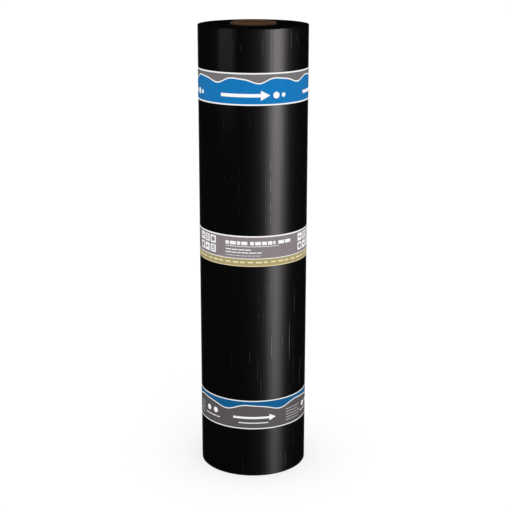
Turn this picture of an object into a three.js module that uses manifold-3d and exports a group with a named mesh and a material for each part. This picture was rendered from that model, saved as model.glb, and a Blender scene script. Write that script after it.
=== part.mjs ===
// A roll of roofing felt: a bitumen sheet wound on a cardboard tube and held by three printed tapes.
// It stands on its end. Millimetres, +Z up, origin on the roll's axis at the lower end of the sheet.
import * as THREE from 'three';
import { mergeVertices } from 'three/addons/utils/BufferGeometryUtils.js';
import Module from 'manifold-3d';

const wasm = await Module();
wasm.setup();

// The sheet
const sheetWidth = 1000;
const sheetLength = 16000;
const sheetThickness = 2.32; // as wound, with the air between the turns
const endStep = 0.2; // between two of the levels that the edges of the turns settle at
const endLevels = 7;
const endStride = 3; // levels from one turn to the next, counted round endLevels
const freeEndAngle = 123; // degrees about +Z from +X
const climbLength = 56; // arc in which the turn under the free end regains the full radius

// The tube
const coreBore = 76;
const coreWall = 12;
const coreProud = 5; // above the sheet's upper edge
const coreChamfer = 0.8;
const coreGap = 0.3; // round the tube, to the first turn

// The tapes
const bandWidth = 68;
const bandThickness = 0.3;
const bandGap = 0.3; // under the tape, to the sheet
const bandLap = 32; // arc in which the tape's end lies over its start
const bandLapAngle = 156; // degrees about +Z from +X, where the tape starts
const topBandInset = 89.5; // from the sheet's upper edge to the tape
const middleBandHeight = 493.5; // from the sheet's lower edge to the tape
const bottomBandHeight = 114;

const facets = 48; // round the full circle
const climbFacets = 6;
const cutMargin = 2; // by which a cutting tool passes the faces that it cuts

const coreRadius = coreBore / 2 + coreWall;
const firstRadius = coreRadius + coreGap;
const turnCount = countTurns(sheetLength);
const rollRadius = firstRadius + turnCount * sheetThickness;

// The sheet's length L fills an area L * t between the radii r and r + n * t, which gives the turns n.
function countTurns(length) {
  const outerSquare = firstRadius ** 2 + (length * sheetThickness) / Math.PI;
  return Math.round((Math.sqrt(outerSquare) - firstRadius) / sheetThickness);
}

// Height by which a turn's lower edge lies above the outermost turn's. The sheet has one width,
// so its upper edge stands out by the same height at the other end.
function turnLift(turnsFromOutside) {
  return endStep * ((endStride * turnsFromOutside) % endLevels);
}

// A closed profile of [radius, height] pairs, turned about +Z. It runs outwards along the lower end.
function turned(profile) {
  const points = [...profile, profile[0]].map(([radius, height]) => new THREE.Vector2(radius, height));
  return new THREE.LatheGeometry(points, facets).rotateX(Math.PI / 2);
}

// Points of an arc about the axis. The radius is a function of the share of the arc that is passed.
function arc(startAngle, endAngle, steps, radiusAt) {
  return Array.from({ length: steps + 1 }, (_, step) => {
    const share = step / steps;
    const angle = startAngle + share * (endAngle - startAngle);
    return new THREE.Vector2(radiusAt(share) * Math.cos(angle), radiusAt(share) * Math.sin(angle));
  });
}

function upright(outline, height) {
  return new THREE.ExtrudeGeometry(outline, { depth: height, bevelEnabled: false });
}

function toSolid(geometry) {
  const bare = geometry.clone();
  bare.deleteAttribute('normal');
  bare.deleteAttribute('uv');
  const merged = mergeVertices(bare);
  const vertProperties = new Float32Array(merged.attributes.position.array);
  const triVerts = new Uint32Array(merged.index.array);
  return new wasm.Manifold(new wasm.Mesh({ numProp: 3, vertProperties, triVerts }));
}

function toGeometry(solid) {
  const { vertProperties, triVerts } = solid.getMesh();
  const geometry = new THREE.BufferGeometry();
  geometry.setAttribute('position', new THREE.BufferAttribute(vertProperties, 3));
  geometry.setIndex(new THREE.BufferAttribute(triVerts, 1));
  return geometry;
}

// The wound sheet as one turned solid. Each turn shows on both ends as a flat ring at its own level.
function woundSheet() {
  const upperEnd = [];
  const lowerEnd = [];
  for (let turn = 0; turn < turnCount; turn += 1) {
    const inner = firstRadius + turn * sheetThickness;
    const lift = turnLift(turnCount - 1 - turn);
    for (const radius of [inner, inner + sheetThickness]) {
      lowerEnd.push([radius, lift]);
      upperEnd.push([radius, sheetWidth + lift]);
    }
  }
  return turned([...lowerEnd, ...upperEnd.reverse()]);
}

// The space past the sheet's free end. There it is as deep as the sheet is thick, and it ends where the
// turn below has climbed back to the full radius. The tool climbs on, to its own outer face.
function freeEndSpace() {
  const outside = rollRadius + cutMargin;
  const inside = rollRadius - sheetThickness;
  const start = THREE.MathUtils.degToRad(freeEndAngle);
  const climb = climbLength / rollRadius;
  const end = start + (climb * (outside - inside)) / sheetThickness;
  const floorOfSpace = arc(start, end, climbFacets, (share) => inside + share * (outside - inside));
  const roofOfSpace = arc(end, start, climbFacets, () => outside).slice(1);
  const outline = new THREE.Shape([...floorOfSpace, ...roofOfSpace]);
  return upright(outline, sheetWidth + 2 * cutMargin).translate(0, 0, -cutMargin);
}

function feltRoll() {
  return toGeometry(toSolid(woundSheet()).subtract(toSolid(freeEndSpace())));
}

function coreTube() {
  const inner = coreBore / 2;
  const upper = sheetWidth + coreProud;
  return turned([
    [inner + coreChamfer, 0],
    [coreRadius - coreChamfer, 0],
    [coreRadius, coreChamfer],
    [coreRadius, upper - coreChamfer],
    [coreRadius - coreChamfer, upper],
    [inner + coreChamfer, upper],
    [inner, upper - coreChamfer],
    [inner, coreChamfer],
  ]);
}

// A tape once round the roll. Where its end lies over its start, it is two thicknesses thick.
function band(lowerEdge) {
  const inner = rollRadius + bandGap;
  const outer = inner + bandThickness;
  const facet = (2 * Math.PI) / facets;
  const lapStart = THREE.MathUtils.degToRad(bandLapAngle);
  const lapEnd = lapStart + bandLap / outer;
  const lapSteps = Math.ceil((lapEnd - lapStart) / facet);
  const lap = arc(lapStart, lapEnd, lapSteps, () => outer + bandThickness);
  const rest = arc(lapEnd, lapStart + 2 * Math.PI, facets, () => outer);
  const outline = new THREE.Shape([...lap, ...rest]);
  outline.holes.push(new THREE.Path(arc(2 * Math.PI, facet, facets - 1, () => inner)));
  return upright(outline, bandWidth).translate(0, 0, lowerEdge);
}

const bitumen = { color: 0x0c0c0d, roughness: 0.35, metalness: 0 };
const board = { color: 0x80603f, roughness: 0.9, metalness: 0 };
const blueTape = { color: 0x1878bc, roughness: 0.3, metalness: 0 };
const greyTape = { color: 0x8b8286, roughness: 0.3, metalness: 0 };

function piece(name, geometry, surface) {
  const mesh = new THREE.Mesh(geometry, new THREE.MeshStandardMaterial(surface));
  mesh.name = name;
  return mesh;
}

const roll = new THREE.Group();
roll.add(piece('felt_roll', feltRoll(), bitumen));
roll.add(piece('core_tube', coreTube(), board));
roll.add(piece('band_top', band(sheetWidth - topBandInset - bandWidth), blueTape));
roll.add(piece('band_middle', band(middleBandHeight), greyTape));
roll.add(piece('band_bottom', band(bottomBandHeight), blueTape));

export default roll;
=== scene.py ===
# A roll of black roofing felt on a board tube, standing on its end, with three printed tapes round it.
import math

import bpy
import numpy as np
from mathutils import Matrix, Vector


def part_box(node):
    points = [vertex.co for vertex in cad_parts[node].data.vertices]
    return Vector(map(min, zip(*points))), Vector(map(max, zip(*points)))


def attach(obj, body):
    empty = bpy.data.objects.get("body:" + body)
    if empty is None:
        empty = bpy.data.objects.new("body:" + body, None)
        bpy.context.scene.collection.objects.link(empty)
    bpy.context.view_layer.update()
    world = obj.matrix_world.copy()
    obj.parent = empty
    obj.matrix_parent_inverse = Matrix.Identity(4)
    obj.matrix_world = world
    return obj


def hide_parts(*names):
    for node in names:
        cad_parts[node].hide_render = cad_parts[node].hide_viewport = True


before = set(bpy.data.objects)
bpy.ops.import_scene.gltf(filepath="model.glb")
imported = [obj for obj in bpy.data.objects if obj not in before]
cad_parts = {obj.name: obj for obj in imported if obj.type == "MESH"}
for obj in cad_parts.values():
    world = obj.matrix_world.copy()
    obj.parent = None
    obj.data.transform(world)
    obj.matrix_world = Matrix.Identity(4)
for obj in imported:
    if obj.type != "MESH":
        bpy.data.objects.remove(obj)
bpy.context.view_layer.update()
scene = bpy.context.scene
scene.view_settings.view_transform = "Standard"
mm = 0.001
fullTurn = 2 * math.pi

camera = {
    "distance": 2.668,  # from the roll's axis, along -Y
    "height": 1.2393,
    "pitch": 15.764,  # degrees below level
    "lens": 86.82,  # mm, on a sensor this wide
    "sensor": 36,
    "shiftX": 0.00345,  # the roll stands a little left of the middle
}
cameraData = bpy.data.cameras.new("camera")
cameraData.sensor_width = camera["sensor"]
cameraData.lens = camera["lens"]
cameraData.shift_x = camera["shiftX"]
cameraObject = bpy.data.objects.new("camera", cameraData)
scene.collection.objects.link(cameraObject)
cameraObject.location = (0, -camera["distance"], camera["height"])
cameraObject.rotation_euler = (math.radians(90 - camera["pitch"]), 0, 0)
scene.camera = cameraObject
print("camera set")


# Sum over the faces of a . (b x c) / 6: it is positive when the faces point outwards.
def signedVolume(corners, quads):
    a, b, c, d = (corners[quads[:, k]] for k in range(4))
    return (np.einsum("ij,ij->i", a, np.cross(b, c)) + np.einsum("ij,ij->i", a, np.cross(c, d))).sum() / 6


# A mesh object at the origin, from parts that are each (points, quads, material slots, flat caps, and
# which of the quads are flat too). A part whose faces point inwards is turned round.
def makePiece(name, parts, materials):
    allCorners, loops, totals, slots, smooth = [], [], [], [], []
    first = 0
    for corners, quads, quadSlots, caps, flat in parts:
        corners = np.asarray(corners, dtype=np.float64).reshape(-1, 3)
        quadSlots = np.broadcast_to(np.asarray(quadSlots), (len(quads),))
        turned = signedVolume(corners, quads) < 0
        allCorners.append(corners)
        loops.append((quads[:, ::-1] if turned else quads).ravel() + first)
        totals.append(np.full(len(quads), 4))
        slots.append(quadSlots)
        smooth.append(~np.broadcast_to(flat, (len(quads),)))
        for cap, slot in caps:
            loops.append((cap[::-1] if turned else cap) + first)
            totals.append([len(cap)])
            slots.append([slot])
            smooth.append([False])
        first += len(corners)
    loops = np.concatenate(loops).astype(np.int32)
    totals = np.concatenate(totals).astype(np.int32)
    mesh = bpy.data.meshes.new(name)
    mesh.vertices.add(first)
    mesh.vertices.foreach_set("co", np.concatenate(allCorners).ravel().astype(np.float32))
    mesh.loops.add(len(loops))
    mesh.loops.foreach_set("vertex_index", loops)
    mesh.polygons.add(len(totals))
    starts, slots = np.cumsum(totals) - totals, np.concatenate(slots)
    for key, values in (("loop_start", starts), ("loop_total", totals), ("material_index", slots)):
        mesh.polygons.foreach_set(key, values.astype(np.int32))
    mesh.update(calc_edges=True)
    smooth = np.concatenate(smooth)
    mesh.polygons.foreach_set("use_smooth", smooth)
    edgeOfLoop, sharp = np.empty(len(loops), np.int32), np.zeros(len(mesh.edges), bool)
    mesh.loops.foreach_get("edge_index", edgeOfLoop)
    sharp[edgeOfLoop[np.repeat(~smooth, totals)]] = True
    mesh.edges.foreach_set("use_edge_sharp", sharp)
    for material in materials:
        mesh.materials.append(material)
    piece = bpy.data.objects.new(name, mesh)
    scene.collection.objects.link(piece)
    print(f"{name}: {int((totals - 2).sum())} triangles")
    return piece


# Quads of a grid of rows x columns points, whose last row or column may join the first.
def gridQuads(rows, columns, wrapColumns=False, wrapRows=False):
    i = np.arange(rows if wrapRows else rows - 1)[:, None]
    j = np.arange(columns if wrapColumns else columns - 1)[None, :]
    below, beside = (i + 1) % rows, (j + 1) % columns
    row, nextRow = i * columns, below * columns
    return np.stack([row + j, row + beside, nextRow + beside, nextRow + j], -1).reshape(-1, 4)


# A closed section of count points, carried along steps places, has a flat cap at each end.
def endCaps(steps, count, slot):
    return [(np.arange(count)[::-1], slot), ((steps - 1) * count + np.arange(count), slot)]


# Points at a radius, an angle about +Z in radians and a height.
def around(radius, angle, height):
    return np.stack(np.broadcast_arrays(radius * np.cos(angle), radius * np.sin(angle), height), -1)


# 3 s^2 - 2 s^3, with s held between 0 and 1.
def smoothStep(share):
    share = np.clip(share, 0, 1)
    return share * share * (3 - 2 * share)


# 1 between low and high, falling smoothly to 0 over soft outside them.
def window(value, low, high, soft):
    return smoothStep((value - low) / soft + 1) * smoothStep((high - value) / soft + 1)


# Sum of n cosines of whole orders of the angle, with seeded phases, divided by sqrt(n).
def ripple(angle, orders, seed):
    phases = np.random.default_rng(seed).uniform(0, fullTurn, len(orders))
    total = sum(np.cos(order * angle + phase) for order, phase in zip(orders, phases))
    return total / math.sqrt(len(orders))


# Long upright streaks: the sum of cos(k a + p + q z) * cos(r z + s) over count seeded orders k, divided
# by sqrt(count / 4).
def streaks(angle, height, lowOrder, highOrder, count, seed):
    random = np.random.default_rng(seed)
    total = 0
    for _ in range(count):
        order = random.integers(lowOrder, highOrder + 1)
        p, q, r, s = random.uniform([0, -6, 4, 0], [fullTurn, 6, 22, fullTurn])
        total = total + np.cos(order * angle + p + q * height) * np.cos(r * height + s)
    return total / math.sqrt(count / 4)


# A short way to write a material's nodes.
class Nodes:
    def __init__(self, name):
        self.material = bpy.data.materials.new(name)
        self.material.use_nodes = True
        self.tree = self.material.node_tree
        self.shader = self.tree.nodes["Principled BSDF"]

    def put(self, socket, value):
        if isinstance(value, bpy.types.NodeSocket):
            self.tree.links.new(value, socket)
        else:
            socket.default_value = value

    def add(self, kind, inputs=None, **settings):
        node = self.tree.nodes.new(kind)
        for key, value in settings.items():
            setattr(node, key, value)
        for key, value in (inputs or {}).items():
            self.put(node.inputs[key], value)
        return node

    def place(self, scale=(1, 1, 1)):  # Object coordinates, scaled
        coordinates = self.add("ShaderNodeTexCoord").outputs["Object"]
        return self.add("ShaderNodeMapping", {"Vector": coordinates, "Scale": scale}).outputs["Vector"]

    def fromAxis(self):  # the place split in three, and its distance from the Z axis
        split = self.add("ShaderNodeSeparateXYZ", {"Vector": self.place()})
        squares = [self.math("MULTIPLY", split.outputs[k], split.outputs[k]) for k in (0, 1)]
        return split, self.math("SQRT", self.math("ADD", *squares))

    def noise(self, scale, stretch=(1, 1, 1), detail=3, rough=0.5):
        inputs = {"Vector": self.place(stretch), "Scale": scale, "Detail": detail, "Roughness": rough}
        return self.add("ShaderNodeTexNoise", inputs).outputs["Fac"]

    def fit(self, noise, low, high):  # 0.3 to 0.7, a noise's usual range, mapped to another
        return self.span(noise, 0.3, 0.7, low, high)

    def span(self, value, fromLow, fromHigh, low, high, kind="LINEAR"):  # a range mapped to another
        inputs = {"Value": value, "From Min": fromLow, "From Max": fromHigh, "To Min": low, "To Max": high}
        return self.add("ShaderNodeMapRange", inputs, interpolation_type=kind).outputs["Result"]

    def math(self, operation, first, second=0.0):
        return self.add("ShaderNodeMath", {0: first, 1: second}, operation=operation).outputs[0]

    def blend(self, share, first, second):
        node = self.add("ShaderNodeMix", data_type="RGBA")
        self.put(node.inputs["Factor"], share)
        colours = [socket for socket in node.inputs if socket.type == "RGBA"]
        self.put(colours[0], first)
        self.put(colours[1], second)
        return next(socket for socket in node.outputs if socket.type == "RGBA")

    def bump(self, height, distance, strength=1.0, under=None):
        node = self.add("ShaderNodeBump", {"Height": height, "Distance": distance, "Strength": strength})
        if under is not None:
            self.put(node.inputs["Normal"], under)
        return node.outputs["Normal"]

    def finish(self, **sockets):
        for key, value in sockets.items():
            self.put(self.shader.inputs[key.replace("_", " ")], value)
        return self.material


# A linear grey, warmer where warm is above 0.
def grey(value, warm=0.0):
    return (value * (1 + warm), value, value * (1 - warm), 1)


# A linear colour from screen values of 0 to 255.
def screen(red, green, blue):
    shares = np.array([red, green, blue]) / 255
    linear = np.where(shares > 0.04045, ((shares + 0.055) / 1.055) ** 2.4, shares / 12.92)
    return (*linear.tolist(), 1)


film = {
    "dark": grey(0.0016),
    "pale": grey(0.0029, 0.04),
    "rough": (0.15, 0.24),  # least and most roughness, along the drawn streaks
    "drawnDepth": 0.07 * mm,
    "grainDepth": 0.01 * mm,
    "dulled": (0.012, 0.034),  # darkest and palest grey of each kind of line: dulled rubs, pale lines and painted glints
    # rubbed: pale lines, partly scuffs and partly painted glints of creases. worn: painted highlights, the
    # glints of creases in the lit band.
    "rubbed": (0.06, 0.19),
    "worn": (0.22, 0.46),
    "slowWave": 0.07 * mm,
    "quickWave": 0.04 * mm,
    "streak": 0.010 * mm,
    "creaseFade": 20 * mm,  # at both ends of a crease
    "rimFlare": 0.08 * mm,
    "rimReach": 8 * mm,
    "tapeMargin": 4 * mm,  # beyond a tape's edges, where the film is still pressed flat
    "tapePress": 0.02 * mm,
    "rubCrease": (0.01, 0.08, 0.8),  # m past each end, rise and half width in mm, under each pale line and painted glint line
    "looseCreases": 90,
    "looseDashes": 18,
    "looseRubs": 16,
    "rubRise": 0.02 * mm,
    "rubDepth": 0.03 * mm,
    "rubSteps": 6,
    "rubPoint": 0.15,  # radians of the half width's sine left out at each end
    "columns": 650,
    "columnGap": 0.3 * mm,  # least distance from an even column to one on a crease
}


# The sheet's outer face: black film with drawn-out streaks along its width and a fine grain.
def blackFilm():
    nodes = Nodes("black_film")
    drawn = nodes.noise(420, stretch=(1, 1, 0.012), detail=4, rough=0.6)
    blotches = nodes.noise(9, stretch=(1, 1, 0.5))
    grain = nodes.noise(2600, stretch=(1, 1, 0.5), detail=2)
    streaked = nodes.span(drawn, 0.35, 0.7, 0.3, 1)
    tone = nodes.math("MULTIPLY", streaked, nodes.fit(blotches, 0.5, 1))
    colour = nodes.blend(tone, film["dark"], film["pale"])
    rough = nodes.fit(drawn, *film["rough"])
    normal = nodes.bump(drawn, film["drawnDepth"])
    normal = nodes.bump(grain, film["grainDepth"], 0.5, normal)
    return nodes.finish(Base_Color=colour, Roughness=rough, Normal=normal)


# Lines on the film from a darker to a paler tone: the same black dulled grey where it is rubbed, and paler
# where the glint of a crease is painted on, a painted highlight.
def rubAndGlintFilm(name, dark, pale):
    nodes = Nodes(name)
    lineNoise = nodes.noise(900, stretch=(1, 1, 0.25), detail=4, rough=0.7)
    colour = nodes.blend(nodes.span(lineNoise, 0.3, 0.65, 0, 1), grey(dark), grey(pale, 0.02))
    rough = nodes.fit(lineNoise, 0.4, 0.7)
    return nodes.finish(Base_Color=colour, Roughness=rough, Specular_IOR_Level=0.4)


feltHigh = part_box("felt_roll")[1]
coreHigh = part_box("core_tube")[1]
sheet = {
    "width": 1.0,
    "turns": 30,
    "air": 0.14 * mm,  # between two turns, where their ends show
    "freeEnd": math.radians(123),  # angle about +Z of the sheet's outer end
    "climb": 56 * mm,  # arc in which a turn climbs onto the one below, just past the free end
    "coreGap": 0.3 * mm,  # from the tube to the first turn
    "bevel": 0.25 * mm,  # height of the worn corners of the cut edges
    "bevelDrop": 0.2,  # share of that height by which the middle of a corner lies low
    "bevelAcross": 0.12,  # and the share of the thickness at which it lies
    "wander": 0.5 * mm,  # half of how far the turns' edges may stand out of line
    "neighbourWaves": 0.43,  # waves a turn, so that neighbours differ
    "groupTurns": 5.3,  # turns in a wave that lifts whole groups
    "sunk": 0.12 * mm,  # the film's mean face below the roll's full radius, which the wrinkles reach
    "overlap": 0.03,  # turns of the winding that lie hidden under its own free end
    "columns": 180,  # a turn, inside
    "cutDark": grey(0.0002),
    "cutPale": grey(0.0012, 0.03),
    "paleTurn": grey(0.008, 0.03),
    "sand": grey(0.014, 0.05),
}
rollRadius = float(feltHigh[0])
firstRadius = float(coreHigh[0]) + sheet["coreGap"]
pitch = (rollRadius - firstRadius) / sheet["turns"]
thickness = pitch - sheet["air"]
climbShare = sheet["climb"] / (fullTurn * rollRadius)
startAngle = sheet["freeEnd"] + climbShare * fullTurn
endTurn = sheet["turns"] - climbShare
joinTurn = endTurn - 1 - sheet["overlap"]  # the outer turn begins here

tape = {
    "width": 68 * mm,
    "thickness": 0.08 * mm,
    "gap": 0.02 * mm,  # from the roll's mean face to the tape's inner face
    "lap": 32 * mm,
    "lapAngle": math.radians(156),
    "ramp": 2 * mm,  # arc in which the tape's end climbs onto its start
    "rampLead": 1.5 * mm,  # how far before the start that ramp begins
    "inkRise": 0.03 * mm,
    "lapRise": 3,  # ink rises by which the end clears the print under it
    "bridge": 0.6,  # radians past the free end in which the tape may leave the sheet
    "bendReach": 1 * mm,
    "flutter": 0.02 * mm,  # unevenness of the whole tape
    "pucker": 0.03 * mm,  # and of its edges
    "puckerReach": 5 * mm,
    "row": 6 * mm,  # most height of a row of faces
    "steps": 520,
    "printMargin": 0.5 * mm,  # kept bare at both ends
    "shortestPrint": 1 * mm,
    "printStep": 1.1 * mm,
    "printEdge": 0.02 * mm,  # least half height of a motif's tip
    "headShare": 0.52,  # half height of an arrow's head, of its length
    "shortestBar": 2 * mm,
    "barGap": 1.4 * mm,
    "gapShare": 0.15,  # the gap is longer by this share of the bars' height
}
tapeLows = {name: float(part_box(name)[0][2]) for name in ("band_top", "band_middle", "band_bottom")}


# The sheet's cut edges and its inner face: dull bitumen with specks of sand, and a tone of its own on
# each turn, which is a noise of whole turns + share. The share comes from the angle past the start, and
# whole = floor((radius - first) / pitch - climb).
def cutBitumen():
    nodes = Nodes("cut_bitumen")
    coarse = nodes.noise(420, detail=5, rough=0.65)
    specks = nodes.noise(1900, detail=1)
    split, radius = nodes.fromAxis()
    deep = nodes.math("SUBTRACT", radius, firstRadius)
    angle = nodes.math("ARCTAN2", split.outputs["Y"], split.outputs["X"])
    past = nodes.math("FLOORED_MODULO", nodes.math("SUBTRACT", angle, startAngle), fullTurn)
    share = nodes.math("DIVIDE", past, fullTurn)
    climb = nodes.span(share, 1 - climbShare, 1, 0, 1, "SMOOTHSTEP")
    whole = nodes.math("FLOOR", nodes.math("SUBTRACT", nodes.math("DIVIDE", deep, pitch), climb))
    along = nodes.math("ADD", whole, share)
    ring = nodes.add("ShaderNodeTexNoise", {"W": along, "Scale": 0.6, "Detail": 2.0}, noise_dimensions="1D")
    colour = nodes.blend(nodes.span(coarse, 0.35, 0.7, 0, 1), sheet["cutDark"], sheet["cutPale"])
    colour = nodes.blend(nodes.span(ring.outputs["Fac"], 0.48, 0.72, 0, 0.8), colour, sheet["paleTurn"])
    colour = nodes.blend(nodes.span(specks, 0.70, 0.78, 0, 0.3), colour, sheet["sand"])
    normal = nodes.bump(coarse, 0.4 * mm, 0.7)
    return nodes.finish(Base_Color=colour, Roughness=0.8, Specular_IOR_Level=0.0, Normal=normal)


# first + pitch * (whole turns + s), where s rises from 0 to 1 in the last part of each turn.
def innerRadius(turn):
    whole = np.floor(turn)
    return firstRadius + pitch * (whole + smoothStep((turn - whole - 1 + climbShare) / climbShare))


# wander * (1 - wave), where the wave is 0.45 of one that makes neighbours differ, 0.45 of one that lifts
# whole groups of turns, and 0.1 of a quick one. The outer turn comes down to 0.
def edgeLift(turn):
    inwards = endTurn - turn
    wave = 0.45 * np.cos(fullTurn * sheet["neighbourWaves"] * inwards)
    wave = wave + 0.1 * np.cos(fullTurn * 1.31 * turn)
    wave = wave + 0.45 * np.cos(fullTurn * inwards / sheet["groupTurns"])
    return sheet["wander"] * (1 - wave) * smoothStep((inwards - 0.9) / 0.6)


# The sheet's section carried along the winding: its inner face, upper edge, outer face with heights
# of its own, and lower edge.
def woundSheet(turns, faceHeights, relief):
    turn, steps = turns[:, None], len(turns)
    angle = startAngle + fullTurn * turn
    bevel, width = sheet["bevel"], sheet["width"]
    drop = sheet["bevelDrop"] * bevel
    edgeAcross = [sheet["bevelAcross"], 0.5, 1 - sheet["bevelAcross"]]
    backAcross = [0, 0, *edgeAcross]
    backHeights = [bevel, width - bevel, width - drop, width, width - drop]
    across = np.concatenate([backAcross, np.ones(len(faceHeights)), edgeAcross[::-1]])[None, :]
    heights = np.concatenate([backHeights, faceHeights[::-1], [drop, 0, drop]])[None, :]
    radius = innerRadius(turn) + across * thickness + (across == 1) * relief(angle, heights)
    corners = around(radius, angle, heights + edgeLift(turn))
    count = heights.shape[1]
    quads = gridQuads(steps, count, wrapColumns=True)
    column = np.arange(len(quads)) % count
    onFace = (column >= len(backAcross)) & (column < len(backAcross) + len(faceHeights) - 1)
    return corners, quads, onFace.astype(int), endCaps(steps, count, 0), False


# Upright lines on the film: painted highlights, the glints of its creases in the lit band; pale lines that
# are partly scuffs and partly painted glints; and dull rubs. Degrees about +Z, lowest and highest point,
# half width in mm.
glintLines = [
    (-48.0, 0.265, 0.359, 0.18), (-70.4, 0.276, 0.335, 0.29), (-72.3, 0.701, 0.725, 0.23),
    (-72.2, 0.655, 0.688, 0.27), (-72.1, 0.613, 0.636, 0.21), (-72.1, 0.582, 0.603, 0.22),
    (-57.3, 0.305, 0.326, 0.09), (-71.8, 0.438, 0.458, 0.08),
]
paleRubsAndGlints = [
    (-82.3, 0.200, 0.238, 0.09), (-85.5, 0.212, 0.290, 0.05), (-94.0, 0.269, 0.300, 0.12),
    (-29.3, 0.196, 0.254, 0.20), (-40.6, 0.374, 0.430, 0.18), (-52.3, 0.010, 0.054, 0.22),
    (-41.3, 0.199, 0.280, 0.07), (-76.0, 0.368, 0.403, 0.07), (-48.4, 0.958, 0.995, 0.18),
    (-77.2, 0.442, 0.458, 0.07), (-79.2, 0.373, 0.388, 0.11), (-57.7, 0.012, 0.057, 0.15),
]
dullRubs = [
    (-80.9, 0.944, 0.993, 0.70), (-37.8, 0.956, 0.993, 0.28), (-41.1, 0.971, 0.990, 0.48),
    (-111.0, 0.943, 0.980, 0.28), (-102.7, 0.954, 0.971, 0.23), (-93.8, 0.794, 0.828, 0.18),
    (-121.6, 0.789, 0.812, 0.33), (-122.9, 0.767, 0.789, 0.14), (-106.1, 0.774, 0.784, 0.14),
    (-105.1, 0.690, 0.708, 0.28), (-105.2, 0.655, 0.673, 0.23), (-105.3, 0.603, 0.620, 0.22),
    (-120.8, 0.681, 0.692, 0.28), (-119.8, 0.626, 0.644, 0.13), (-76.4, 0.621, 0.638, 0.60),
    (-84.5, 0.415, 0.431, 0.28), (-84.5, 0.372, 0.386, 0.31), (-41.5, 0.288, 0.323, 0.25),
    (-27.0, 0.236, 0.267, 0.50), (-113.7, 0.264, 0.291, 0.17), (-47.2, 0.192, 0.210, 0.18),
    (-79.1, 0.232, 0.248, 0.22), (-40.0, 0.052, 0.086, 0.50), (-101.7, 0.008, 0.040, 0.25),
]
# Creases in the film: degrees, lowest and highest point, rise and half width in mm. Each line of painted
# glint and each pale line stands on one.
past, rise, half = film["rubCrease"]
creases = [(degrees, low - past, high + past, rise, half) for degrees, low, high, _ in glintLines + paleRubsAndGlints]
creases += [
    (-47.6, 0.95, 1.00, 0.08, 0.8), (-40.3, 0.96, 1.00, 0.08, 0.8), (-37.0, 0.95, 1.00, 0.10, 0.8),
    (-33.0, 0.95, 1.00, 0.10, 0.8), (-80.2, 0.94, 1.00, 0.06, 1.0), (-88.0, 0.78, 0.84, 0.07, 1.0),
    (-74.5, 0.60, 0.84, 0.04, 1.4), (-66.5, 0.58, 0.80, 0.04, 1.2), (-78.0, 0.64, 0.80, 0.04, 1.0),
    (-62.0, 0.02, 0.11, 0.08, 0.9), (-68.0, 0.02, 0.10, 0.06, 1.0), (-75.0, 0.20, 0.46, 0.03, 1.2),
]
placedCreases = np.array([crease[0] for crease in creases])
creaseRandom = np.random.default_rng(41)  # seeded ones all round
for _ in range(film["looseCreases"]):
    low = creaseRandom.uniform(-0.02, 0.97)
    long = creaseRandom.uniform(0.02, 0.16)
    degrees = creaseRandom.uniform(-180, 180)
    creases.append((degrees, low, low + long, *creaseRandom.uniform([0.03, 1.5], [0.09, 2.4])))
# Small blisters: degrees, height, rise and radius in mm. They lie in the finer rows of the face.
blisterRandom = np.random.default_rng(8)
blisters = blisterRandom.uniform([-128, 0.735, 0.08, 2.6], [-112, 0.805, 0.20, 4.5], (18, 4))


# Arc from an angle in degrees to each angle in radians, the short way round.
def arcFrom(degrees, angle):
    return ((angle - math.radians(degrees) + math.pi) % fullTurn - math.pi) * rollRadius


# Slow waves, streaks, rise * exp(-(arc / half width)^2) for each crease with its two ends faded,
# rise * exp(-(distance / radius)^2) for each blister, and a flare that falls as exp(-z / reach) from the
# rims. It is all pressed flat under the tapes.
def filmRelief(angle, height):
    total = film["slowWave"] * ripple(angle, (2, 3, 5, 8), 3) * np.cos(4.1 * height + 0.7)
    total = total + film["quickWave"] * ripple(angle, (11, 17, 23), 5) * np.sin(9.3 * height)
    total = total + film["streak"] * streaks(angle, height, 60, 190, 40, 6)
    for degrees, low, high, rise, half in creases:
        lowEnd = smoothStep((height - low) / film["creaseFade"])
        highEnd = smoothStep((high - height) / film["creaseFade"])
        across = np.exp(-((arcFrom(degrees, angle) / (half * mm)) ** 2))
        total = total + rise * mm * across * (lowEnd * highEnd)
    for degrees, centre, rise, radius in blisters:
        away = (arcFrom(degrees, angle) ** 2 + (height - centre) ** 2) / (radius * mm) ** 2
        total = total + rise * mm * np.exp(-away)
    rim = np.exp(-np.minimum(height, sheet["width"] - height) / film["rimReach"])
    total = total + rim * film["rimFlare"] * ripple(angle, (7, 12, 19, 31), 9)
    margin = film["tapeMargin"]
    pressed = sum(window(height, low, low + tape["width"], margin) for low in tapeLows.values())
    return total * (1 - pressed) - sheet["sunk"] - film["tapePress"] * pressed


# Runs of short dull dashes: degrees, height of the first, number, step.
dashRuns = []
rubRandom = np.random.default_rng(19)
for _ in range(film["looseDashes"]):
    dashRuns.append(tuple(rubRandom.uniform([-20, 0.02, 3, 0.025], [205, 0.80, 7, 0.045])))
for degrees, start, number, step in dashRuns:
    for low in start + step * np.arange(int(number)) + rubRandom.uniform(-3, 3) * mm:
        high = low + rubRandom.uniform(8, 19) * mm
        aside = rubRandom.uniform(-0.25, 0.25)
        dullRubs.append((degrees + aside, low, high, rubRandom.uniform(0.25, 0.45)))
for _ in range(film["looseRubs"]):
    low = rubRandom.uniform(0.02, 0.93)
    degrees = rubRandom.uniform(-15, 200)
    long = rubRandom.uniform(0.02, 0.07)
    paleRubsAndGlints.append((degrees, low, low + long, rubRandom.uniform(0.12, 0.4)))


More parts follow.
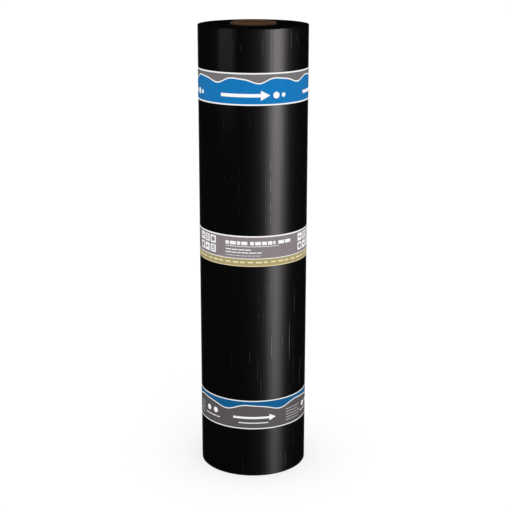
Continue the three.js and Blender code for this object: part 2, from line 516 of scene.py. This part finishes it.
# Each is a thin raised sliver that follows the film, with pointed ends: half width * sin. None lies
# under a tape.
def rubAndGlintLines(rubs, slot):
    parts = []
    steps, margin = film["rubSteps"], film["tapeMargin"]
    share = np.sin(np.linspace(film["rubPoint"], math.pi - film["rubPoint"], steps))[:, None]
    lift = np.array([[film["rubRise"], film["rubRise"], -film["rubDepth"], -film["rubDepth"]]])
    fullFace = innerRadius(np.array(endTurn - 0.5)) + thickness
    for degrees, low, high, half in rubs:
        if any(edge - margin < high and low < edge + tape["width"] + margin for edge in tapeLows.values()):
            continue
        heights = np.linspace(low, high, steps)[:, None]
        angle = math.radians(degrees) + half * mm / rollRadius * share * np.array([[-1, 1, 1, -1]])
        points = around(fullFace + filmRelief(angle, heights) + lift, angle, heights)
        parts.append((points, gridQuads(steps, 4, wrapColumns=True), slot, endCaps(steps, 4, slot), False))
    return parts


# Even columns, and five more across each placed crease.
def outerTurns():
    even = np.linspace(joinTurn, endTurn, film["columns"])
    across = np.array([-1.0, -0.5, 0, 0.5, 1.0]) * mm / rollRadius
    angle = (np.radians(placedCreases)[:, None] + across).ravel()
    fine = np.unique(endTurn - 1 + (angle - sheet["freeEnd"]) % fullTurn / fullTurn)
    clear = np.abs(even[:, None] - fine).min(1) > film["columnGap"] / (fullTurn * rollRadius)
    return np.sort(np.concatenate([even[clear], fine]))


feltMaterials = [
    # Slots 2 and 4 hold painted highlights: pale and palest lines in place of the glints of creases, and
    # slot 2 is partly scuffs too.
    cutBitumen(), blackFilm(), rubAndGlintFilm("rubbed_and_glint_film", *film["rubbed"]),
    rubAndGlintFilm("dulled_film", *film["dulled"]), rubAndGlintFilm("glint_film", *film["worn"]),
]
plainFace = np.array([sheet["bevel"], sheet["width"] - sheet["bevel"]])
innerTurns = np.linspace(0, joinTurn, int(sheet["columns"] * joinTurn))
innerPart = woundSheet(innerTurns, plainFace, lambda angle, height: 0)
feltWinding = makePiece("felt_winding", [innerPart], feltMaterials)
# Heights of the outer face's rows, which are finer across the blisters and at the rims.
outerFace = np.concatenate([
    [sheet["bevel"], 2 * mm, 5 * mm], np.arange(0.010, 0.728, 0.014), np.arange(0.731, 0.818, 0.0032),
    np.arange(0.824, 0.99, 0.012), [0.993, 0.996, 0.9985, sheet["width"] - sheet["bevel"]],
])
outerParts = [woundSheet(outerTurns(), outerFace, filmRelief)]
for rubs, slot in ((paleRubsAndGlints, 2), (dullRubs, 3), (glintLines, 4)):
    outerParts += rubAndGlintLines(rubs, slot)
feltOuterTurn = makePiece("felt_outer_turn", outerParts, feltMaterials)
for piece in (feltWinding, feltOuterTurn):
    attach(piece, "root")
    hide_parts("felt_roll")
print("sheet wound")

tube = {
    "bore": 38 * mm,
    "radius": 50 * mm,
    "plies": 14,
    "plyRelief": 0.10 * mm,
    "ragged": 0.10 * mm,
    "raggedTurn": 1500,  # radians in a metre across the end
    "seamPitch": 0.125,  # rise of the spiral seam in one turn of the paper
    "seamDepth": 0.22 * mm,
    "seamWidth": 0.9 * mm,
    "seamSlant": 0.9,  # about the cosine of its slope
    "wave": 0.025 * mm,
    "round": 0.9 * mm,  # of the cut ends' corners
    "worn": 2.4 * mm,  # of the upper end's outer corner, which stands proud
    "steps": 288,
    "endTones": (screen(58, 44, 34), screen(85, 65, 49)),  # darkest and palest
    # The bore's tones are paler and warmer than the ends': painted bounce light inside the tube.
    "boreBounceTones": (screen(76, 53, 32), screen(98, 70, 44)),
    "plyTone": screen(46, 34, 25),
}


# Brown board: long fibres, ply lines on the cut ends, and a bore painted paler and warmer than the ends as
# painted bounce light against the shade inside the tube.
def tubeBoard():
    nodes = Nodes("tube_board")
    fibres = nodes.noise(520, stretch=(1, 1, 0.35), detail=5, rough=0.6)
    blotches = nodes.noise(22)
    radius = nodes.fromAxis()[1]
    tone = nodes.math("ADD", nodes.fit(fibres, 0, 0.7), nodes.fit(blotches, 0, 0.3))
    waves = fullTurn * tube["plies"] / (tube["radius"] - tube["bore"])
    plies = nodes.math("SINE", nodes.math("MULTIPLY", radius, waves))
    ends = nodes.blend(tone, *tube["endTones"])
    ends = nodes.blend(nodes.span(plies, 0.4, 1, 0, 0.35), ends, tube["plyTone"])
    # Inside the bore the painted bounce light takes over.
    inside = nodes.span(radius, tube["bore"] + 0.4 * mm, tube["bore"] + 1.2 * mm, 1, 0)
    colour = nodes.blend(inside, ends, nodes.blend(tone, *tube["boreBounceTones"]))
    normal = nodes.bump(fibres, 0.3 * mm, 0.6)
    return nodes.finish(Base_Color=colour, Roughness=0.9, Specular_IOR_Level=0.1, Normal=normal)


# A closed profile (bore, upper end, outside, lower end) carried round the axis. The bore and outside
# dip along a spiral seam by depth * exp(-(distance / width)^2), and the upper end is lower by
# relief * (1 - cos) between the plies, and a little ragged.
def boardTube():
    height = float(coreHigh[2])
    inner, outer, corner, worn = tube["bore"], tube["radius"], tube["round"], tube["worn"]
    bend = np.linspace(0, math.pi / 2, 5)[1:-1]
    boreHeights = np.concatenate([  # finer in the upper part
        np.linspace(corner, height - 0.25, 50), np.linspace(height - 0.245, height - corner, 60),
    ])
    endRadii = np.linspace(inner + corner, outer - worn, 4 * tube["plies"] + 1)
    footRadii = np.linspace(outer - corner, inner + corner, tube["plies"] + 1)
    outsideHeights = np.linspace(height - worn, corner, 30)
    profile = np.concatenate([
        np.stack([np.full(len(boreHeights), inner), boreHeights], 1),
        np.stack([inner + corner - corner * np.cos(bend), height - corner + corner * np.sin(bend)], 1),
        np.stack([endRadii, np.full(len(endRadii), height)], 1),
        np.stack([outer - worn + worn * np.sin(bend), height - worn + worn * np.cos(bend)], 1),
        np.stack([np.full(len(outsideHeights), outer), outsideHeights], 1),
        np.stack([outer - corner + corner * np.cos(bend), corner - corner * np.sin(bend)], 1),
        np.stack([footRadii, np.zeros(len(footRadii))], 1),
        np.stack([inner + corner - corner * np.sin(bend), corner - corner * np.cos(bend)], 1),
    ])
    radii, heights = profile[:, 0][None, :], profile[:, 1][None, :]
    side = 1.0 * (radii == inner) - 1.0 * (radii == outer)
    angle = np.linspace(0, fullTurn, tube["steps"], endpoint=False)[:, None]
    offSeam = (heights / tube["seamPitch"] - angle / fullTurn) % 1 - 0.5
    offSeam = offSeam * tube["seamPitch"] * tube["seamSlant"]
    dip = tube["seamDepth"] * np.exp(-((offSeam / tube["seamWidth"]) ** 2))
    dip = dip + tube["wave"] * ripple(angle, (2, 3, 7), 22)
    plyWave = np.cos(fullTurn * tube["plies"] * (radii - endRadii[0]) / (endRadii[-1] - endRadii[0]))
    ragged = tube["ragged"] * ripple(angle, (9, 21, 34, 55, 89), 21) * np.sin(radii * tube["raggedTurn"])
    sink = (heights == height) * (tube["plyRelief"] * (1 - plyWave) + np.abs(ragged))
    corners = around(radii + side * dip, angle, heights - sink)
    quads = gridQuads(tube["steps"], radii.shape[1], wrapColumns=True, wrapRows=True)
    return makePiece("board_tube", [(corners, quads, 0, [], False)], [tubeBoard()])


boardCore = boardTube()
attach(boardCore, "root")
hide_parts("core_tube")
print("tube made")


# Ink on a dull film tape: slight mottling, faint rubbed streaks and a crinkled surface.
def printedInk(name, colour, mottle=0.07):
    nodes = Nodes(name)
    mottling = nodes.noise(160, stretch=(1, 1, 0.7), detail=4)
    rubbed = nodes.noise(60, stretch=(1, 1, 4), detail=5, rough=0.7)
    crinkles = nodes.noise(900, stretch=(1, 1, 0.3), detail=2)
    deep, pale, worn = (
        (*(channel * share + lift for channel in colour[:3]), 1)
        for share, lift in ((1 - mottle, 0), (1 + mottle, 0), (0.8, 0.12))
    )
    base = nodes.blend(nodes.fit(mottling, 0, 1), deep, pale)
    base = nodes.blend(nodes.span(rubbed, 0.68, 0.8, 0, 0.09), base, worn)
    rough = nodes.fit(mottling, 0.5, 0.62)
    normal = nodes.bump(crinkles, 0.02 * mm, 0.5)
    return nodes.finish(Base_Color=base, Roughness=rough, Specular_IOR_Level=0.12, Normal=normal)


inks = {
    "white": printedInk("ink_white", screen(249, 249, 249), 0.015),
    "blue": printedInk("ink_blue", screen(3, 117, 184)),
    "taupe": printedInk("ink_taupe", screen(118, 114, 115)),
    "lilac": printedInk("ink_lilac", screen(136, 128, 130)),
    "gold": printedInk("ink_gold", screen(170, 158, 108)),
    "paleGold": printedInk("ink_pale_gold", screen(236, 221, 184)),
    "slate": printedInk("ink_slate", screen(91, 86, 88)),
    "deepBlue": printedInk("ink_deep_blue", screen(2, 92, 143)),
}
inkOrder = list(inks)
pastEnd = np.linspace(0, fullTurn, 2881)  # angle past the sheet's free end


# Radius of the sheet's mean outer face under a taut tape, at each angle past the free end. It is the
# face itself, and from the free end's corner the longest straight chord down to the turn below:
# chord radius = top r sin a / (top sin p + r sin(a - p)) at angle p for a chord that ends at (r, a).
def tautFace():
    face = innerRadius(endTurn - 1 + pastEnd / fullTurn) + thickness
    top = float(innerRadius(np.array(endTurn - 1e-6))) + thickness
    face[0] = top
    near = pastEnd < tape["bridge"]
    p, a, r = pastEnd[near][:, None], pastEnd[near][None, :], face[near][None, :]
    below = top * np.sin(p) + r * np.sin(np.maximum(a - p, 0))
    chord = np.where(a > p, top * r * np.sin(a) / np.maximum(below, 1e-9), 0)
    face[near] = np.maximum(face[near], chord.max(1))
    face[-1] = top
    return face


tautRadius = tautFace()
girth = fullTurn * rollRadius
tapeLength = girth + tape["lap"]
# Where a tape bends: over the free end's corner, and in the middle of the ramp at its own lap.
endArc = (sheet["freeEnd"] - tape["lapAngle"]) % fullTurn * rollRadius
bends = np.array([endArc, girth + tape["ramp"] / 2 - tape["rampLead"]])
bends = (bends[:, None] + np.linspace(-1, 1, 9) * tape["bendReach"]).ravel()


# A point on a tape at an arc from its start: taut radius + gap + rise + pucker, and where the tape's
# end lies on its start, its own thickness and the ink more.
def tapePoint(arc, height, rise, pucker):
    angle = tape["lapAngle"] + arc / rollRadius
    over = smoothStep((arc - girth + tape["rampLead"]) / tape["ramp"])
    over = over * (tape["thickness"] + tape["lapRise"] * tape["inkRise"])
    face = np.interp((angle - sheet["freeEnd"]) % fullTurn, pastEnd, tautRadius) - sheet["sunk"]
    return around(face + tape["gap"] + over + rise + pucker(angle, height), angle, height)


# The arc at which the tape passes an angle, in degrees to the right of -Y.
def arcAt(degrees):
    return (math.radians(degrees - 90) - tape["lapAngle"]) % fullTurn * rollRadius


# A tape is one closed strip, whose rows follow the printed lines, and each zone between two lines has
# its ink. The motifs are thin closed layers of ink on it, cut off where the tape ends: start, end, lower
# and upper line over the share from start to end, and ink. They are sampled at shares (1 - cos t) / 2.
# Any ink but white lies one layer higher.
def makeTape(name, node, lines, zones, motifs, seed):
    low = tapeLows[node]

    def pucker(angle, height):
        edge = np.exp(-np.minimum(height - low, low + tape["width"] - height) / tape["puckerReach"])
        flat = tape["flutter"] * ripple(angle, (5, 9, 16), seed + 1)
        return flat + tape["pucker"] * (edge * ripple(angle, (13, 29, 47), seed) + edge)

    arc = np.unique(np.concatenate([np.linspace(0, tapeLength, tape["steps"]), bends]))
    levels = [heightsOn(line, arc) for line in lines]
    rows, slots = [levels[0]], []
    for below, above, ink in zip(levels[:-1], levels[1:], zones):
        parts = max(1, round(float((above - below).max()) / tape["row"]))
        for part in range(1, parts + 1):
            rows.append(below + (above - below) * part / parts)
            slots.append(inkOrder.index(ink))
    heights = low + np.stack(rows, 1)
    outside = tapePoint(arc[:, None], heights, tape["thickness"], pucker)
    inside = tapePoint(arc[:, None], heights[:, [-1, 0]], 0, pucker)
    corners = np.concatenate([outside, inside], 1)
    count = corners.shape[1]
    quads = gridQuads(len(arc), count, wrapColumns=True)
    column, white = np.arange(len(quads)) % count, inkOrder.index("white")
    flat = column >= len(slots)
    slots = np.array(slots + [white] * (count - len(slots)))[column]
    parts = [(corners, quads, slots, endCaps(len(arc), count, white), flat)]
    for start, end, lower, upper, ink in motifs:
        first, last = max(start, tape["printMargin"]), min(end, tapeLength - tape["printMargin"])
        if last - first < tape["shortestPrint"]:
            continue
        turned = np.linspace(0, math.pi, int((last - first) / tape["printStep"]) + 4)
        places = first + (last - first) * (1 - np.cos(turned)) / 2
        places = np.unique(np.concatenate([places, bends[(bends > first) & (bends < last)]]))
        share = (places - start) / (end - start)
        bottom, top = low + heightsOn(lower, share), low + heightsOn(upper, share)
        edges = np.stack([bottom, top, top, bottom], 1)
        layers = np.array([[1.0, 1.0, -0.5, -0.5]]) + (ink != "white")  # in ink rises
        points = tapePoint(places[:, None], edges, tape["thickness"] + layers * tape["inkRise"], pucker)
        slot, steps = inkOrder.index(ink), len(places)
        quads = gridQuads(steps, 4, wrapColumns=True)
        parts.append((points, quads, slot, endCaps(steps, 4, slot), np.arange(len(quads)) % 4 > 0))
    piece = makePiece(name, parts, list(inks.values()))
    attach(piece, "root")
    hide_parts(node)


# A line is one height, or a height as a function of places along it.
def heightsOn(line, places):
    return np.broadcast_to(line(places) if callable(line) else line, places.shape)


# middle + rise * (sin t + 0.25 sin(2 t + 0.9)), with a number of waves round the roll.
def swell(middle, rise, waves, phase):
    def line(arc):
        turn = waves * arc / rollRadius + phase
        return middle + rise * (np.sin(turn) + 0.25 * np.sin(2 * turn + 0.9))
    return line


# A line raised by a height.
def offset(line, height):
    return lambda arc: line(arc) + height


# A motif: from one arc to another, and from one height to another.
def bar(start, end, low, high, ink="white"):
    return (start, end, low, high, ink)


# A white bar as long as length.
def rule(start, length, low, high):
    return bar(start, start + length, low, high)


# A disc's half height at a share s is r sqrt(1 - (2 s - 1)^2).
def disc(centre, height, radius, ink="white"):
    def half(share):
        return radius * np.sqrt(np.maximum(1 - (2 * share - 1) ** 2, 0)) + tape["printEdge"]
    return (centre - radius, centre + radius, lambda s: height - half(s), lambda s: height + half(s), ink)


# A shaft that ends in a triangle, whose half height falls evenly to its tip.
def arrow(start, length, height, head, line, ink="white"):
    neck = start + length - head

    def half(share):
        return head * tape["headShare"] * (1 - share) + tape["printEdge"]

    triangle = (neck, start + length, lambda s: height - half(s), lambda s: height + half(s), ink)
    return [bar(start, neck, height - line / 2, height + line / 2, ink), triangle]


# A row of bars of seeded lengths, as long as reach in all.
def dashes(start, reach, low, high, shortest, longest, random):
    row, at = [], start
    while at < start + reach:
        end = min(at + random.uniform(shortest, longest), start + reach)
        if end - at > tape["shortestBar"]:
            row.append(bar(at, end, low, high))
        at = end + tape["gapShare"] * (high - low) + tape["barGap"]
    return row


# The arcs by which a pattern that repeats after some degrees is turned.
def repeats(degrees):
    return [math.radians(repeat * degrees) * rollRadius for repeat in range(-1, 3)]


# A motif is written as degrees to the right of -Y, place past them in mm, and sizes in mm.
def sized(turned, motif):
    degrees, place, *sizes = motif
    return (arcAt(degrees) + turned + place * mm, *(size * mm for size in sizes))


# Upper tape: blue under taupe, parted by a white wave, with one long arrow and two discs a repeat.
upper = {
    "edge": 2.9 * mm,
    "line": 2.5 * mm,
    "wave": (51 * mm, 5.2 * mm, 8, 0.75),  # its middle, rise, waves round the roll and phase
    "repeat": 95.5,  # degrees
    "arrow": (0, -72, 108, 21, 20, 7),  # its sizes: length, height, head and line
    "discs": ((0, 50, 21, 7), (0, 67, 21, 4.5)),  # height and radius
}
upperMotifs = []
for turned in repeats(upper["repeat"]):
    upperMotifs += arrow(*sized(turned, upper["arrow"]))
    upperMotifs += [disc(*sized(turned, motif)) for motif in upper["discs"]]
upperWave = swell(*upper["wave"])
makeTape(
    "tape_upper", "band_top",
    [0, upper["edge"], upperWave, offset(upperWave, upper["line"]), tape["width"] - upper["edge"],
     tape["width"]],
    ["white", "blue", "white", "taupe", "white"], upperMotifs, 51,
)

# Middle tape: lilac over a gold strip, with a heading of bars, finer rows below it and small tiles.
middle = {
    "edge": 3.0 * mm,
    "lowEdge": 1.6 * mm,
    "gold": 16.6 * mm,
    "line": 1.5 * mm,
    "repeat": 125,  # degrees
    # Rows of bars: reach, lowest, highest, shortest and longest.
    "heading": (
        (-30, 0, 50, 48, 55.5, 7, 16), (-30, 56, 56, 48, 55.5, 7, 16), (-30, 119, 33, 48, 55.5, 7, 16),
    ),
    "rows": (
        (-30, 0, 60, 36, 38.2, 8, 16), (-30, 0, 84, 29.6, 31.7, 7, 15), (-30, 0, 80, 23.4, 24.4, 4, 9),
    ),
    "rule": (-30, 0, 120, 44.0, 45.1),  # length, lowest and highest
    "tiles": ((54, 0, 17, 24), (54, 21, 17, 24), (54, 42, 17, 24)),  # side, lowest
    "tileStep": 20.5 * mm,  # from the lower tiles to the upper ones
    "tileDisc": 0.32,  # this and the next three are shares of a tile
    "tileArrow": (0.18, 0.66, 0.4, 0.16),
    "tileBar": (0.2, 0.8, 0.13),
    "tileBars": (0.2, 0.44, 0.68),
    "marks": 46,  # on the gold strip: first, step, lengths, lowest and highest, in mm
    "mark": (6, 17, (9.5, 11.5, 13.5), 7.6, 11.0),
}
middleMotifs = []
wordRandom = np.random.default_rng(12)
for turned in repeats(middle["repeat"]):
    for motif in middle["heading"]:
        middleMotifs += dashes(*sized(turned, motif), wordRandom)
    middleMotifs.append(rule(*sized(turned, middle["rule"])))
    for motif in middle["rows"]:
        middleMotifs += dashes(*sized(turned, motif), wordRandom)
    for column, motif in enumerate(middle["tiles"]):
        for row in range(2):
            start, size, low = sized(turned, motif)
            low = low + row * middle["tileStep"]
            height = low + size / 2
            middleMotifs.append(rule(start, size, low, low + size))
            if (column + row) % 3 == 0:
                middleMotifs.append(disc(start + size / 2, height, middle["tileDisc"] * size, "lilac"))
            elif (column + row) % 3 == 1:
                aside, length, head, line = np.array(middle["tileArrow"]) * size
                middleMotifs += arrow(start + aside, length, height, head, line, "lilac")
            else:
                first, last, high = np.array(middle["tileBar"]) * size
                for share in middle["tileBars"]:
                    at = low + share * size
                    middleMotifs.append(bar(start + first, start + last, at, at + high, "lilac"))
first, step, lengths, low, high = middle["mark"]
for mark in range(middle["marks"]):
    at = (first + mark * step) * mm
    middleMotifs.append(bar(at, at + lengths[mark % 3] * mm, low * mm, high * mm, "paleGold"))
makeTape(
    "tape_middle", "band_middle",
    [0, middle["lowEdge"], middle["gold"], middle["gold"] + middle["line"], tape["width"] - middle["edge"],
     tape["width"]],
    ["paleGold", "gold", "white", "lilac", "white"], middleMotifs, 61,
)

# Lower tape: slate under deep blue, parted by a white wave, with discs, an arrow and fine rows.
lower = {
    "edge": 2.2 * mm,
    "line": 2.1 * mm,
    "wave": (50.8 * mm, 5.4 * mm, 6, 2.4),
    "repeat": 125,
    "arrow": (-22, 0, 98, 27, 15, 5),
    "rule": (-16, 0, 68, 13.5, 15.6),
    "discs": ((-56, 0, 33, 6.5), (-45, 0, 33, 6.5)),
    "rows": (
        (-62, 0, 48, 17.5, 19.6, 9, 15), (38, 0, 42, 11.5, 12.3, 9, 17), (38, 0, 46, 18.2, 19.0, 9, 17),
        (38, 0, 50, 24.9, 25.7, 9, 17), (38, 0, 42, 31.6, 32.4, 9, 17), (38, 0, 46, 38.3, 39.1, 9, 17),
    ),
}
lowerMotifs = []
for turned in repeats(lower["repeat"]):
    lowerMotifs += arrow(*sized(turned, lower["arrow"]))
    lowerMotifs.append(rule(*sized(turned, lower["rule"])))
    lowerMotifs += [disc(*sized(turned, motif)) for motif in lower["discs"]]
    for motif in lower["rows"]:
        lowerMotifs += dashes(*sized(turned, motif), wordRandom)
lowerWave = swell(*lower["wave"])
makeTape(
    "tape_lower", "band_bottom",
    [0, lower["edge"], lowerWave, offset(lowerWave, lower["line"]), tape["width"] - lower["edge"],
     tape["width"]],
    ["white", "slate", "white", "deepBlue", "white"], lowerMotifs, 71,
)
print("tapes wrapped")

# The set: an even sky, one soft lamp over the camera, and a dark wall with lit panels round the roll
# that only glossy rays see. Angles are in degrees to the right of -Y.
light = {
    "sky": 1.0,
    "lampStrength": 0.14,  # what the lamp adds on a surface that faces it
    "lampSide": 2.0,
    "lampAway": (0.9, -2.6, 2.4),  # from the point it faces
    "lampAim": 0.5,  # height of that point on the axis
    "floorReach": 30,
    "floor": grey(0.8),  # as it lights the roll
    "seenFloor": grey(0.46),  # and as it is seen, with a glow of its own
    "floorLift": 0.56,
    "wallRadius": 1.2,
    "wallHeights": (-1.4, 3.0),
    "coverGap": 10 * mm,
    "coverReach": 1.8,  # half a cover's side
    "panelTint": (1.05, 0.982, 1.0, 1),
    "even": 0.008,  # the glow between panels
    "fade": 0.3,  # height in which a panel ends, under its top
    "main": {
        "angle": 47.1, "lean": 1.4, "leanFrom": 0.7, "core": 10.9, "pinch": 0.09, "pinchFrom": 0.75,
        "skirt": 24, "skirtShare": 0.09, "skirtAside": 4, "bottom": 1.25, "slope": 2.65,
        "slopeFrom": -0.54, "least": 0.5, "most": 5.0, "top": 1.35,
    },
    "left": {
        "from": -71.5, "to": -38.5, "soft": 1.0, "low": 0.64, "high": 0.80, "radiance": 0.35, "top": 2.0,
    },
    "back": {"angle": 181, "core": 9, "radiance": 1.2, "top": 1.25},
}


# 1 for camera, glossy and transmission rays, and 0 for the rest.
def seenRays(tree):
    path = tree.nodes.new("ShaderNodeLightPath")
    total = path.outputs["Is Camera Ray"]
    for ray in ("Is Glossy Ray", "Is Transmission Ray"):
        node = tree.nodes.new("ShaderNodeMath")
        node.operation = "MAXIMUM"
        tree.links.new(total, node.inputs[0])
        tree.links.new(path.outputs[ray], node.inputs[1])
        total = node.outputs[0]
    return total


world = bpy.data.worlds.new("studio")
scene.world = world
world.use_nodes = True
skyTree = world.node_tree
sky = skyTree.nodes["Background"]
sky.inputs["Color"].default_value = (1, 1, 1, 1)
skyStrength = skyTree.nodes.new("ShaderNodeMapRange")
skyStrength.inputs["To Min"].default_value = light["sky"]
skyTree.links.new(seenRays(skyTree), skyStrength.inputs["Value"])
skyTree.links.new(skyStrength.outputs["Result"], sky.inputs["Strength"])


# A set piece from points and quads, which isn't part of the roll.
def makeStage(name, corners, quads, material):
    mesh = bpy.data.meshes.new(name)
    mesh.from_pydata(corners.reshape(-1, 3).tolist(), [], quads.tolist())
    mesh.materials.append(material)
    stage = bpy.data.objects.new(name, mesh)
    scene.collection.objects.link(stage)
    return stage


# A pale floor, which keeps the shadow. Where the camera sees it, half of it is a plain white lift.
def makeFloor():
    nodes = Nodes("pale_floor")
    tree = nodes.tree
    tree.nodes.remove(nodes.shader)
    seen = seenRays(tree)
    colour = nodes.blend(seen, light["floor"], light["seenFloor"])
    matte = nodes.add("ShaderNodeBsdfDiffuse", {"Color": colour})
    lift = nodes.add("ShaderNodeEmission", {"Strength": nodes.math("MULTIPLY", seen, light["floorLift"])})
    both = nodes.add("ShaderNodeAddShader", {0: matte.outputs[0], 1: lift.outputs[0]})
    tree.links.new(both.outputs[0], tree.nodes["Material Output"].inputs["Surface"])
    corners = light["floorReach"] * np.array([[-1, -1, 0], [1, -1, 0], [1, 1, 0], [-1, 1, 0]], float)
    floor = makeStage("floor", corners, np.array([[0, 1, 2, 3]]), nodes.material)
    floor.visible_glossy = False


# The wall is a drum whose light is kept at its points. Every panel ends at its top. The main one is
# exp(-d^2 / 2 core^2) with a wide skirt of the same form. It leans, its light grows evenly upwards, and
# its core is narrower at the left below. The left one is a box with soft sides, and the back one is
# exp(-d^2 / 2 core^2).
def makeWall():
    lowest, highest = light["wallHeights"]
    heights = np.linspace(lowest, highest, 89)[:, None]
    degrees = np.arange(-180, 180, 1.0)[None, :]
    main, left, back = light["main"], light["left"], light["back"]

    def under(panel):
        return smoothStep((panel["top"] - heights) / light["fade"])

    aside = degrees - main["angle"] - main["lean"] * (heights - main["leanFrom"])
    core = main["core"] * np.where(aside < 0, 1 - main["pinch"] * (main["pinchFrom"] - heights), 1)
    across = (1 - main["skirtShare"]) * np.exp(-((aside / core) ** 2) / 2)
    skirt = (aside + main["skirtAside"]) / main["skirt"]
    across = across + main["skirtShare"] * np.exp(-(skirt ** 2) / 2)
    upwards = main["bottom"] + main["slope"] * (heights - main["slopeFrom"])
    glow = light["even"] + across * (np.clip(upwards, main["least"], main["most"]) * under(main))
    box = window(degrees, left["from"], left["to"], left["soft"])
    box = box * smoothStep((heights - left["low"]) / (left["high"] - left["low"])) * under(left)
    glow = glow + left["radiance"] * box
    behind = (degrees - back["angle"] + 180) % 360 - 180
    glow = glow + back["radiance"] * np.exp(-((behind / back["core"]) ** 2) / 2) * under(back)
    nodes = Nodes("wall_panels")
    tree = nodes.tree
    tree.nodes.remove(nodes.shader)
    stored = nodes.add("ShaderNodeAttribute", attribute_name="glow").outputs["Fac"]
    panel = nodes.add("ShaderNodeEmission", {"Color": light["panelTint"], "Strength": stored})
    tree.links.new(panel.outputs[0], tree.nodes["Material Output"].inputs["Surface"])
    nodes.material.cycles.emission_sampling = "NONE"
    corners = around(light["wallRadius"], np.radians(degrees - 90), heights)
    wall = makeStage("wall", corners, gridQuads(*glow.shape, wrapColumns=True), nodes.material)
    kept = wall.data.attributes.new("glow", "FLOAT", "POINT")
    kept.data.foreach_set("value", glow.ravel().astype(np.float32))
    cloth = Nodes("black_cloth").finish(Base_Color=(0, 0, 0, 1), Roughness=1.0, Specular_IOR_Level=0.0)
    square = light["coverReach"] * np.array([[-1, -1], [1, -1], [1, 1], [-1, 1]])
    ends = (lowest - light["coverGap"], highest + light["coverGap"])
    covers = np.concatenate([np.c_[square, np.full(4, height)] for height in ends])
    cover = makeStage("cover", covers, np.array([[0, 1, 2, 3], [4, 5, 6, 7]]), cloth)
    for stage in (wall, cover):
        for ray in ("camera", "diffuse", "transmission", "shadow", "volume_scatter"):
            setattr(stage, "visible_" + ray, False)


# A square lamp, whose radiance is strength * distance^2 * pi / side^2. The power is that times
# pi * side^2.
def makeLamp():
    away = np.array(light["lampAway"])
    lamp = bpy.data.lights.new("soft_lamp", "AREA")
    lamp.size = light["lampSide"]
    lamp.energy = light["lampStrength"] * float(away @ away) * math.pi ** 2
    lampObject = bpy.data.objects.new("soft_lamp", lamp)
    scene.collection.objects.link(lampObject)
    lampObject.location = away + np.array([0, 0, light["lampAim"]])
    tilt, turn = math.atan2(math.hypot(away[0], away[1]), away[2]), math.atan2(away[0], -away[1])
    lampObject.rotation_euler = (tilt, 0, turn)
    lampObject.visible_glossy = False


makeFloor()
makeWall()
makeLamp()
print("lights set")
